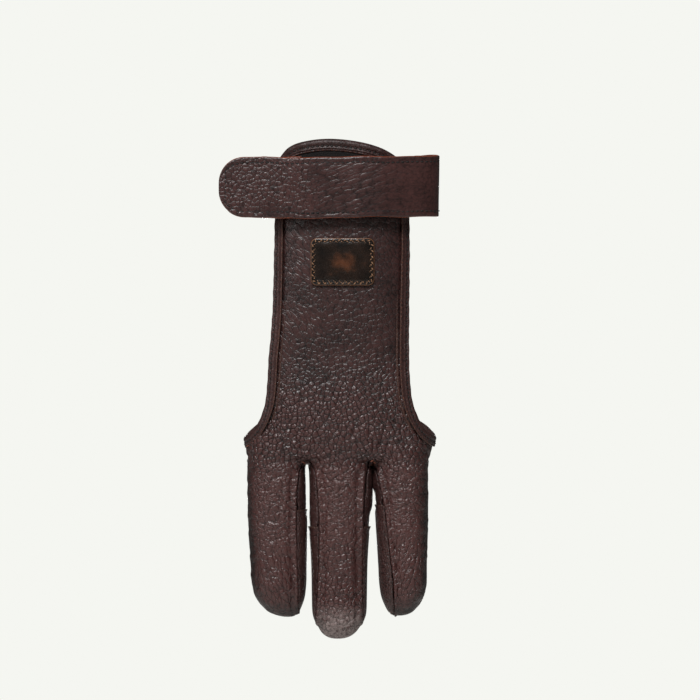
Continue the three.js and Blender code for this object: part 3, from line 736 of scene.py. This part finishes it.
def opening_loop(spacing):
    """The finished edge's middle line in the leather, its way out of the leather and its way into it."""
    cuff = CUFF_ROWS * (PANEL_HALF, CUFF_HEIGHT)
    knots = np.vstack([edge_side(PANEL_ROWS[:, 1], -1)[::-1], cuff, edge_side(PANEL_ROWS[:, 2], 1)])
    t = np.linspace(0, 1, 1400)
    line = spline(knots, t)
    slope = unit(np.gradient(line, axis=0))
    line = line + EDGE_INSET * np.stack([slope[:, 1], -slope[:, 0]], 1)
    x = KNUCKLES * np.cos(np.linspace(0, np.pi, 400))
    palm_edge = -PALM_DROP + PALM_RISE * (1 - (x / KNUCKLES) ** 6)
    under = np.stack([x, palm_edge - EDGE_INSET], 1)
    angles, heights = [], []
    for part, sign in ((line, -1), (under, 1)):
        middle, half, _, _, _, square = hand_section(part[:, 1])
        share = (part[:, 0] - middle) / (half - LEATHER / 2)
        kept = np.abs(share) <= 1
        share = share[kept]
        angles.append(sign * np.arccos(np.sign(share) * np.abs(share) ** (square[kept] / 2)))
        heights.append(part[kept, 1])
    angle, z = np.concatenate(angles), np.concatenate(heights)
    loop = on_hand(angle, z, -LEATHER / 2)
    above = on_hand(angle, z, LEATHER)
    walked = walked_along(closed_up(loop))
    stations = np.arange(0, walked[-1], spacing)
    loop, above = (read_along(closed_up(line), walked, stations) for line in (loop, above))
    for _ in range(int(14 / spacing)):  # rounds off the corners
        loop = (np.roll(loop, 1, 0) + 2 * loop + np.roll(loop, -1, 0)) / 4
        above = (np.roll(above, 1, 0) + 2 * above + np.roll(above, -1, 0)) / 4
    tangent = unit(np.roll(loop, -1, 0) - np.roll(loop, 1, 0))
    out = above - loop
    out = unit(out - tangent * np.sum(out * tangent, 1)[:, None])
    return loop, out, np.cross(tangent, out)


def strip_mesh(name, rings, closed, capped=False):
    """Faces between rings of points, all with the same number of points. A closed strip meets itself."""
    count, sides = len(rings), len(rings[0])
    faces = []
    for i in range(count if closed else count - 1):
        for j in range(sides):
            a, b = i * sides, ((i + 1) % count) * sides
            faces.append((a + j, b + j, b + (j + 1) % sides, a + (j + 1) % sides))
    if capped:
        faces.append(tuple(range(sides)))
        faces.append(tuple((count - 1) * sides + j for j in range(sides))[::-1])
    mesh = bpy.data.meshes.new(name)
    mesh.from_pydata((np.concatenate(rings) / 1000).tolist(), [], faces)
    shape = bmesh.new()
    shape.from_mesh(mesh)
    bmesh.ops.recalc_face_normals(shape, faces=shape.faces)
    shape.to_mesh(mesh)
    shape.free()
    mesh.shade_smooth()
    piece = bpy.data.objects.new(name, mesh)
    scene.collection.objects.link(piece)
    return piece


BINDING = np.array([  # into the leather on the sides, and over cuff and flares; out of its middle; raw edge
    [-0.25, -0.25, 0.0, 0], [-0.25, -0.25, 0.78, 0], [1.4, 1.4, 0.8, 0], [3.4, 3.4, 0.8, 0.3],
    [3.85, 3.85, 0.85, 1], [3.9, 3.9, 1.05, 1], [3.7, 3.75, 1.25, 0.7], [3.2, 3.5, 1.33, 0],
    [2.5, 3.3, 1.3, 0], [1.95, 3.1, 1.33, 0], [1.7, 2.9, 1.55, 0], [1.35, 2.6, 1.68, 0],
    [1.05, 2.3, 1.56, 0], [0.8, 2.05, 1.36, 0], [0.6, 1.85, 1.26, 0], [0.4, 1.65, 1.36, 0],
    [0.1, 1.3, 1.6, 0], [-0.25, 0.75, 1.84, 0], [-0.55, 0.1, 1.88, 0], [-0.85, -0.5, 1.6, 0],
    [-1.08, -0.95, 1.05, 0], [-1.18, -1.17, 0.4, 0], [-1.2, -1.2, -0.1, 0], [-1.1, -1.1, -0.7, 0],
    [-0.7, -0.7, -1.3, 0], [-0.1, -0.1, -1.68, 0], [0.6, 0.6, -1.78, 0], [1.4, 1.4, -1.6, 0],
    [2.1, 2.1, -1.4, 0], [3.0, 3.0, -1.45, 0], [3.7, 3.7, -1.35, 0.4], [4.1, 4.1, -1.1, 1],
    [4.05, 4.05, -0.82, 1], [1.4, 1.4, -0.8, 0], [-0.25, -0.25, -0.78, 0],
])
THIN_HIDE = (0.048, 0.0195, 0.0175)
BINDING_EDGE = (0.055, 0.022, 0.015, 1)
loop, out, into = opening_loop(0.8)
broad = np.maximum(fade(loop[:, 2], 2, 12), 1 - fade(loop[:, 2], -99, -84))
rings = []
for k in range(len(loop)):
    swell = 1 + 0.05 * math.sin(k * 0.9) + 0.04 * math.sin(k * 0.37 + 1)
    lift = np.where(BINDING[:, 2] > 0.9, swell, 1) * BINDING[:, 2]
    inward = BINDING[:, 0] * (1 - broad[k]) + BINDING[:, 1] * broad[k]
    rings.append(loop[k] + inward[:, None] * into[k] + lift[:, None] * out[k])
binding = strip_mesh("binding", rings, closed=True)
point_values(binding, "raw", np.tile(BINDING[:, 3], len(rings)))
point_values(binding, "outer", np.ones(len(binding.data.vertices)))
finish, build, colour, roughness, height = cowhide("binding leather", 1100.0, THIN_HIDE, FLESH, plain_side)
colour = build.values("raw").eased(0.3, 0.9).mixed(colour, BINDING_EDGE)
shaded(build, colour, roughness + 0.07, height, 0.0001, specular=0.42)
binding.data.materials.append(finish)
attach(binding, "root")
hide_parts("edge_binding")


def stitch_maker():
    """Geometry Nodes that lay one short stitch after another along a line, each sunk in at its ends."""
    tree = bpy.data.node_groups.new("stitches", "GeometryNodeTree")
    tree.interface.new_socket("Line", in_out="INPUT", socket_type="NodeSocketGeometry")
    for name in ("Spacing", "Length", "Thickness"):
        tree.interface.new_socket(name, in_out="INPUT", socket_type="NodeSocketFloat")
    tree.interface.new_socket("Thread", in_out="INPUT", socket_type="NodeSocketMaterial")
    tree.interface.new_socket("Stitches", in_out="OUTPUT", socket_type="NodeSocketGeometry")
    build = Signal(tree)
    line = build.node("NodeGroupInput", {}, {}, "Line")
    curve = build.node("GeometryNodeMeshToCurve", {}, {"Mesh": line})
    evenly = {"Curve": curve, "Length": line.also("Spacing")}
    places = build.node("GeometryNodeCurveToPoints", {"mode": "LENGTH"}, evenly)
    bead = build.node("GeometryNodeMeshUVSphere", {}, {"Segments": 8, "Rings": 5, "Radius": 1.0})
    thick, long = line.also("Thickness") * 0.5, line.also("Length") * 0.5
    size = build.node("ShaderNodeCombineXYZ", {}, {"X": thick, "Y": thick, "Z": long})
    each = {"Points": places, "Instance": bead, "Rotation": places.also("Rotation"), "Scale": size}
    laid_on = build.node("GeometryNodeInstanceOnPoints", {}, each)
    real = build.node("GeometryNodeRealizeInstances", {}, {"Geometry": laid_on})
    smooth = build.node("GeometryNodeSetShadeSmooth", {}, {"Geometry": real})
    dyed = build.node("GeometryNodeSetMaterial", {}, {"Geometry": smooth, "Material": line.also("Thread")})
    build.node("NodeGroupOutput", {}, {"Stitches": dyed})
    return tree


def sewn(name, lines, spacing, length, thickness, thread, closed=False):
    """Stitches along one or more lines of points, all on one object. Every length is in millimetres."""
    points, edges = [], []
    for line in lines:
        first = len(points)
        points += (np.asarray(line) / 1000).tolist()
        edges += [(first + k, first + k + 1) for k in range(len(line) - 1)]
        if closed:
            edges.append((len(points) - 1, first))
    mesh = bpy.data.meshes.new(name)
    mesh.from_pydata(points, edges, [])
    piece = bpy.data.objects.new(name, mesh)
    scene.collection.objects.link(piece)
    maker = piece.modifiers.new("stitches", "NODES")
    maker.node_group = STITCHES
    wanted = {"Spacing": spacing / 1000, "Length": length / 1000, "Thickness": thickness / 1000}
    wanted["Thread"] = thread
    for socket in STITCHES.interface.items_tree:
        if socket.name in wanted:
            maker[socket.identifier] = wanted[socket.name]
    as_made(piece)
    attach(piece, "root")
    return piece


def thread_finish(name, dark, light, roughness=0.6):
    """Twisted sewing thread: fine slanted bands along each stitch."""
    material, build = new_finish(name)
    twist = build.places().pulled(55, 4.0).noise(2400.0, 1.0)
    tone = twist.ramp((0.3, dark), (0.7, light))
    shaded(build, tone, roughness + twist * 0.1, twist, 0.0001)
    return material


STITCHES = stitch_maker()
BLACK_THREAD = thread_finish("black thread", (0.002, 0.0015, 0.0015), (0.010, 0.007, 0.006))
BROWN_THREAD = thread_finish("red-brown thread", (0.045, 0.015, 0.009), (0.16, 0.05, 0.027))
in_groove = loop + (0.6 + 1.25 * broad)[:, None] * into + 1.3 * out
groove = sewn("binding_stitches", [in_groove], 2.0, 1.3, 0.85, BLACK_THREAD, closed=True)
inside = loop + 2.2 * into - 1.42 * out
inner = sewn("binding_inner_stitches", [inside], 1.75, 1.3, 0.5, BLACK_THREAD, closed=True)
at_edge = loop + 3.55 * into + 1.27 * out
second = sewn("second_stitches", [at_edge], 1.9, 0.95, 0.3, BROWN_THREAD, closed=True)


# The tacks: short red-brown stitches that hold the ends of the seams. Two are at the base of each gap
# between the fingers, one is at the left flare, and two are at the lower ends of front seams.
def on_leather(x, z):
    """The outer side of the worn leather, straight behind a place in the front view."""
    column = np.stack([np.full(500, x), np.linspace(-26, -3, 500), np.full(500, z)], 1)
    return column[np.argmax(glove_field(column, True) < 0.3)]


TACK_THREAD = thread_finish("tack thread", (0.09, 0.026, 0.013), (0.26, 0.075, 0.04))
TACKS = [  # x, z, turn from level
    (13.0, -113.9, 20), (13.9, -114.5, -35), (-15.9, -114.4, -15), (-15.0, -114.9, 30),
    (-39.0, -107.7, 25), (-18.2, -176.6, 70), (21.0, -177.0, -60),
]
ties = []
for x, z, turn in TACKS:
    reach = (math.cos(math.radians(turn)), math.sin(math.radians(turn)))
    middle = on_leather(x, z)
    ties.append([middle, middle + (reach[0], 0, reach[1])])
tacks = sewn("seam_tacks", ties, 5.0, 1.5, 0.42, TACK_THREAD)


# The strap: two layers of hide sewn back to back along both edges. It is sewn to the cuff on the left,
# goes round the wrist, folds over on the right and crosses the front to its rounded free end.
STRAP = 2.2
STRAP_HALF, STRAP_END, STRAP_RADIUS = 12.7, 50.8, 11.0  # half width, free end's place, its corners
STRAP_BOW, STRAP_TILT = 1.2, 0.033
STRAP_STEP = 0.6
STRAP_ROWS = np.array([  # over the front 1, behind 0; across; deep
    [1, -1.3, -0.925], [1, -0.95, -0.94], [1, -0.55, -0.975], [1, 0.0, -1.0], [1, 0.5, -0.985],
    [1, 0.95, -0.86], [1, 1.22, -0.74], [1, 1.33, -0.55], [1, 1.27, -0.36], [0, 1.06, -0.12],
    [0, 1.01, 0.2], [0, 0.88, 0.72], [0, 0.5, 0.97], [0, 0.0, 1.02], [0, -0.5, 0.97],
    [0, -0.88, 0.72], [0, -1.02, 0.2], [0, -1.01, -0.3], [0, -0.9, -0.73], [0, -0.72, -0.9],
    [0, -0.5, -0.965],
])
CUFF_ROOM, TAPE = 0.9, 1.2  # under the free end: over the cuff, and for each tape of the fastener
FRONT_DEPTH = DEPTH + CUFF_ROOM + TAPE + TAPE + STRAP / 2
BEHIND = 1.5 + STRAP / 2
over_front = STRAP_ROWS[:, :1] > 0
radii = np.where(over_front, (WRIST, FRONT_DEPTH), (WRIST + BEHIND, DEPTH + BEHIND))
knots = STRAP_ROWS[:, 1:] * radii
knots = np.vstack([[-STRAP_END, knots[0, 1]], knots])
dense = spline(knots, np.linspace(0, 1, 6000))
walked = walked_along(dense)
tip_steps = STRAP_RADIUS * (1 - np.cos(np.linspace(0, np.pi / 2, 16)))
stations = np.r_[tip_steps, np.arange(STRAP_RADIUS + STRAP_STEP, walked[-1], STRAP_STEP)]
route = read_along(dense, walked, stations)
slope = unit(np.gradient(route, stations, axis=0))
outward = np.stack([slope[:, 1], -slope[:, 0]], 1)
x = route[:, 0]
t = np.clip((x + STRAP_END) / (WRIST * 2 + STRAP_END), 0, 1)
bow = STRAP_BOW * (t**2 - (1 - t) * t * 0.9)
free_end = stations < 30
corner = np.clip((STRAP_END - STRAP_RADIUS + x) / -STRAP_RADIUS, 0, 1) * free_end
cut = STRAP_RADIUS * (1 - np.sqrt(1 - corner**2))
waver = 0.22 * np.sin(stations / 7.3) + 0.16 * np.sin(stations / 3.1 + 1)
top = STRAP_HALF + bow - cut + waver * 0.8
low = -STRAP_HALF + bow + cut + np.roll(waver, 9)
SEAM_INSET, FACE_INSET = 2.4, 0.42
ACROSS = np.linspace(0.0, 1.0, 45)
EDGE_IN = np.array([0.12, 0.0, 0.0, 0.3])  # the cut edge's rounded section, from the outer face inwards
EDGE_OUT = np.array([0.8, 0.45, -0.6, -1.0])
EDGE_RAW = np.array([1.0, 1.0, 1.0, 0.6])
inner_face = np.full(len(ACROSS), -STRAP / 2)
rings = []
for k in range(len(route)):
    across = low[k] + FACE_INSET + (top[k] - low[k] - 2 * FACE_INSET) * ACROSS
    crown = 0.10 * np.sin(np.pi * ACROSS)
    crown = crown + 0.22 * math.sin(stations[k] / 9.0) * np.cos(np.pi * (ACROSS - 0.2))
    face = STRAP / 2 + crown
    for seam_height in (top[k] - SEAM_INSET, low[k] + SEAM_INSET):
        face = face - 0.16 * np.exp(-(((across - seam_height) / 0.35) ** 2))
    heights = np.r_[across, top[k] - EDGE_IN, across[::-1], low[k] + EDGE_IN[::-1]]
    offsets = np.r_[face, EDGE_OUT, inner_face, EDGE_OUT[::-1]]
    y = route[k, 1] + outward[k, 1] * offsets
    heights = heights + STRAP_TILT * (y + FRONT_DEPTH)
    rings.append(np.stack([route[k, 0] + outward[k, 0] * offsets, y, heights], 1))
strap = strip_mesh("strap", rings, closed=False, capped=True)
raw = np.r_[np.zeros(len(ACROSS)), EDGE_RAW, np.zeros(len(ACROSS)), EDGE_RAW[::-1]]
point_values(strap, "raw", np.tile(raw, len(rings)))
point_values(strap, "outer", np.ones(len(strap.data.vertices)))


def strap_wear_and_painted_shade(x, y, z, patchy):
    """Pebbled towards the free end, drawn smooth and wrinkled where it bends back on the right, with
    painted shade growing towards the right end.
    """
    left = x.eased(0.004, -0.022)
    middle = x.band(-0.004, 0.020, 0.012)
    right = x.eased(0.012, 0.026)
    depth = (0.20 + left * 0.36 + middle * 0.12) * patchy.eased(0.10, 0.5)
    # Painted shade: the whole strap is dimmed, and more so towards its right end, which turns away from the
    # light.
    painted_light_and_shade = x.eased(-0.060, 0.010) * 0.3 + 0.45
    drawn = [(-40, 1.8, left * patchy.eased(0.5, 0.6)), (72, 3.6, middle * 0.9), (80, 3.0, right * 0.8)]
    return depth, painted_light_and_shade, drawn, [(74, 260.0, middle * 0.24 + right * 0.1), (100, 330.0, right * 0.2)]


STRAP_EDGE = (0.22, 0.05, 0.022, 1)
finish, build, colour, roughness, height = cowhide("strap cowhide", 560.0, HIDE, FLESH, strap_wear_and_painted_shade)
colour = build.values("raw").eased(0.3, 0.9).mixed(colour, STRAP_EDGE)
shaded(build, colour, roughness, height, 0.0003, specular=0.45)
strap.data.materials.append(finish)
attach(strap, "root")
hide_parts("wrist_strap")


def on_strap(k, height):
    """Where the thread lies at one of the strap's stations, a little sunk into its face."""
    offset = STRAP / 2 - 0.02
    y = route[k, 1] + outward[k, 1] * offset
    return (route[k, 0] + outward[k, 0] * offset, y, height + STRAP_TILT * (y + FRONT_DEPTH))


rows = np.flatnonzero((stations > 3.2) & (stations < stations[-1] - 1.0))
tip = np.flatnonzero((stations > 2.4) & (stations < 3.2))[0]
upper = [on_strap(k, top[k] - SEAM_INSET) for k in rows]
lower = [on_strap(k, low[k] + SEAM_INSET) for k in rows]
turn_heights = np.linspace(top[rows[0]] - 2.8, low[rows[0]] + 2.8, 12)
tip_turn = [on_strap(tip, height) for height in turn_heights]
seam = sewn("strap_stitches", [upper[::-1] + tip_turn + lower], 2.1, 1.5, 0.6, BLACK_THREAD)


# The patch: a small rounded rectangle of glossy waxed leather, sewn to the panel near its edge with light
# brown thread. Its field is bare and a little cushioned inside the seam.
PATCH_WIDTH, PATCH_HEIGHT, PATCH_CORNER = 26.5, 19.7, 2.6
PATCH_X, PATCH_Z = 0.7, -30.9
ARC_POINTS, SIDE_POINTS = 9, 24


def patch_outline(inset):
    """The points of the patch's outline, this far in from its edge, going round once."""
    corner = max(PATCH_CORNER - inset * 0.5, 0.4)
    half_width, half_height = PATCH_WIDTH / 2 - inset - corner, PATCH_HEIGHT / 2 - inset - corner
    arcs = []
    for turn, sx, sz in ((0, 1, 1), (1, -1, 1), (2, -1, -1), (3, 1, -1)):
        angle = (turn + np.linspace(0, 1, ARC_POINTS)) * np.pi / 2
        arc = np.stack([np.cos(angle), np.sin(angle)], 1) * corner
        arcs.append(arc + (sx * half_width, sz * half_height))
    line = []
    for arc, following in zip(arcs, arcs[1:] + arcs[:1]):
        start, end = arc[-1], following[0]
        line += [arc, start + (end - start) * np.linspace(0, 1, SIDE_POINTS + 2)[1:-1, None]]
    return np.vstack(line)


def on_back(x, z, out):
    """Points a distance out of the back of the hand's leather."""
    middle, half, back_reach, _, widest, square = hand_section(z)
    share = np.clip(np.abs(x - middle) / half, 0, 1)
    y = widest - (widest - back_reach) * (1 - share**square) ** (1 / square)
    return np.stack([x, y - out, z], 1)


PATCH_PROFILE = np.array([  # inset from the edge, out of the panel
    [0.4, 0.3], [0.02, 0.4], [0.0, 0.9], [0.12, 1.25], [0.35, 1.42], [0.7, 1.46], [1.05, 1.40],
    [1.35, 1.32], [1.7, 1.38], [2.2, 1.47], [3.0, 1.53], [4.0, 1.56], [5.2, 1.60], [6.6, 1.66],
    [8.0, 1.70], [9.2, 1.72],
])
CUT_FACE = 0.25  # less than this far in, the patch shows its raw edge
PATCH_EDGE = (0.20, 0.085, 0.038, 1)
rings = []
for inset, rise in PATCH_PROFILE:
    line = patch_outline(inset)
    rings.append(on_back(line[:, 0] + PATCH_X, line[:, 1] + PATCH_Z, rise))
patch = strip_mesh("patch", rings, closed=False, capped=True)
point_values(patch, "raw", np.repeat(PATCH_PROFILE[:, 0] < CUT_FACE, len(rings[0])))
finish, build = new_finish("waxed leather")
place = build.places()
x, _, z = place.parts()
mottle = place.noise(170.0, 4.0)
creases = place.noise(60.0, 3.0)
pores = place.noise(2400.0, 2.0)
centre = abs(x - 0.0015).eased(0.0105, 0.001) * abs(z + 0.0320).eased(0.0080, 0.0005) * creases
WAX, THIN_WAX, PULLED_UP = (0.004, 0.002, 0.0012), (0.014, 0.0062, 0.0033), (0.085, 0.028, 0.011)
lighter = mottle * 0.80 + centre * mottle * 0.95
tone = lighter.ramp((0.30, WAX), (0.55, THIN_WAX), (0.85, PULLED_UP))
raw = build.values("raw")
colour = raw.mixed(tone, PATCH_EDGE)
roughness = 0.20 + mottle * 0.12 + raw * 0.4
height = creases * 1.2 + mottle * 0.6 + pores * 0.1
shaded(build, colour, roughness, height, 0.0006, **{"Coat Weight": 0.12, "Coat Roughness": 0.15})
patch.data.materials.append(finish)
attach(patch, "root")
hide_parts("leather_patch")
TAN_THREAD = thread_finish("tan thread", (0.11, 0.05, 0.023), (0.32, 0.17, 0.09), 0.55)
TURNS = 66
ZIGZAG_INSETS = (0.75, 1.65)  # the two lines between which the thread goes, in from the patch's edge
rims = []
for inset in ZIGZAG_INSETS:
    line = closed_up(patch_outline(inset))
    walked = walked_along(line)
    rims.append(read_along(line, walked, np.linspace(0, walked[-1], TURNS, endpoint=False)))
zigzag = np.where(np.arange(TURNS)[:, None] % 2 == 0, *rims)
zigzag = on_back(zigzag[:, 0] + PATCH_X, zigzag[:, 1] + PATCH_Z, 1.5)
legs = []
for start, end in zip(zigzag, np.roll(zigzag, -1, 0)):
    legs.append([start * 0.875 + end * 0.125, start * 0.25 + end * 0.75])
zigzag_seam = sewn("patch_stitches", legs, 5.0, 1.35, 0.55, TAN_THREAD)
dots = [[point, point + (0.01, 0, 0)] for point in zigzag[1::2] - (0, 0.06, 0)]
holes = sewn("patch_stitch_holes", dots, 5.0, 0.55, 0.55, BLACK_THREAD)


# The fastener: a near-black loop tape sewn on the cuff, and the hook tape on the strap's inner face. Both
# keep the solids' shape and get a matt woven pile.
TAPE_KINDS = [  # solid, finish, tufts to the metre, relief
    ("loop_patch", "loop pile", 1500.0, 0.0005),
    ("hook_patch", "hook pile", 900.0, 0.0006),
]
for node, name, tufts, relief in TAPE_KINDS:
    finish, build = new_finish(name)
    place = build.places()
    pile = place.bent().cracks(tufts).eased(0.0, 0.4)
    fuzz = place.noise(3200.0, 3.0)
    tone = (pile * 0.6 + fuzz * 0.4).ramp((0.2, (0.003, 0.002, 0.002)), (1.0, (0.02, 0.014, 0.012)))
    shaded(build, tone, 0.85 + fuzz * 0.1, pile + fuzz, relief)
    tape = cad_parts[node]
    tape.data.materials.clear()
    tape.data.materials.append(finish)
